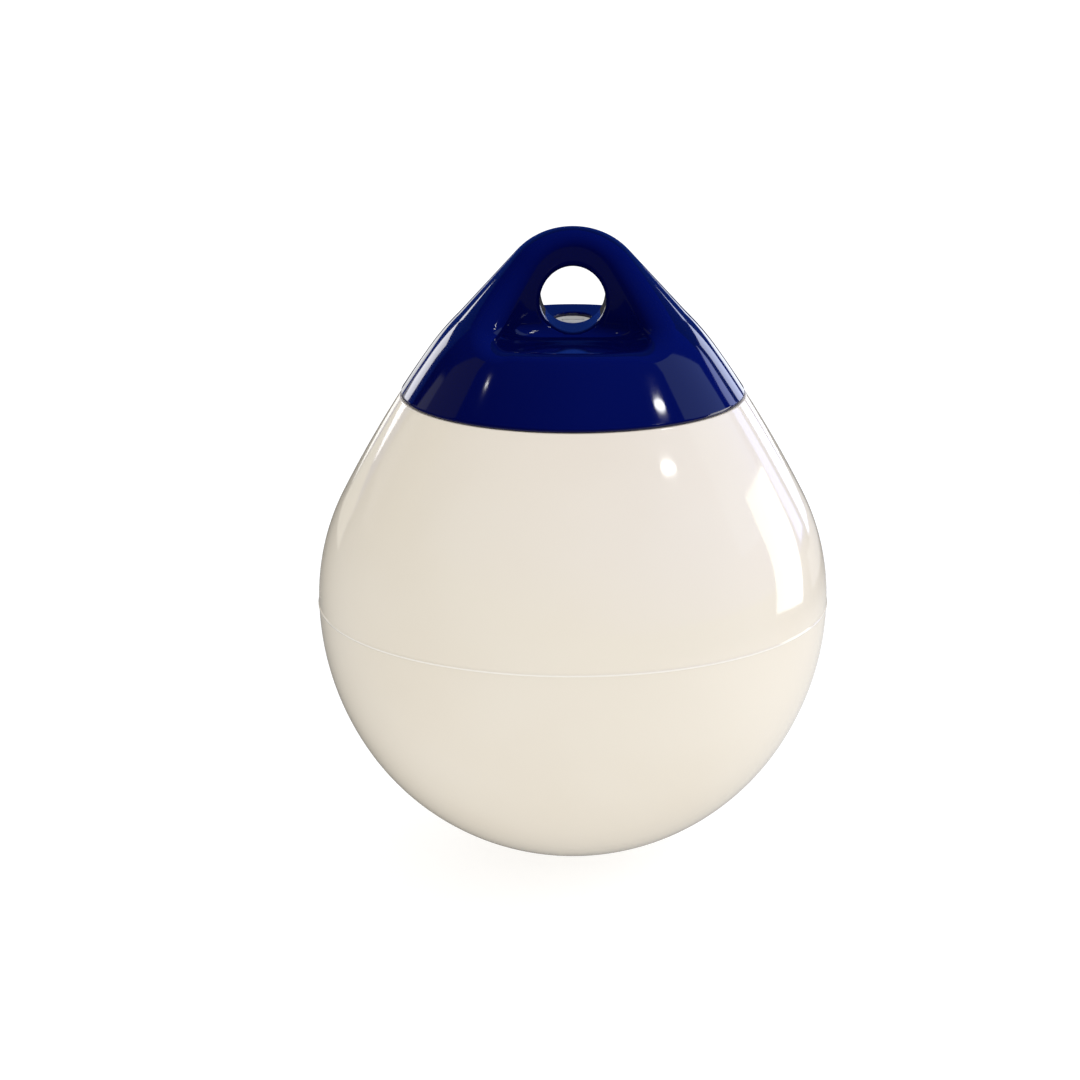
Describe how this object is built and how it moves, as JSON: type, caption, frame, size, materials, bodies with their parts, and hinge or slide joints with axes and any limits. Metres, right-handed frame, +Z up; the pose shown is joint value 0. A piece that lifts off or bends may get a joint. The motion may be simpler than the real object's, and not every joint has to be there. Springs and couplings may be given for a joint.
{
  "type": "mooring buoy",
  "caption": "Air-filled teardrop mooring buoy: a round vinyl float with a solid moulded rope eye on top and an air valve in the pocket behind the eye.",
  "frame": {"origin": "middle of the rope hole in the eye", "axes": "+Z up along the buoy's axis, Y along the rope hole with +Y towards the side of the air valve, +X across the web"},
  "size_m": [0.2808, 0.2808, 0.3503],
  "materials": {
    "white_vinyl": "smooth glossy cream-white vinyl, faintly uneven as blown skins are",
    "navy_vinyl": "polished deep navy vinyl, moulded solid",
    "valve_nylon": "satin natural nylon"
  },
  "bodies": {
    "root": {"body_shell": "white_vinyl", "rope_eye": "navy_vinyl", "valve_body": "valve_nylon", "valve_screw": "valve_nylon"}
  },
  "joints": []
}
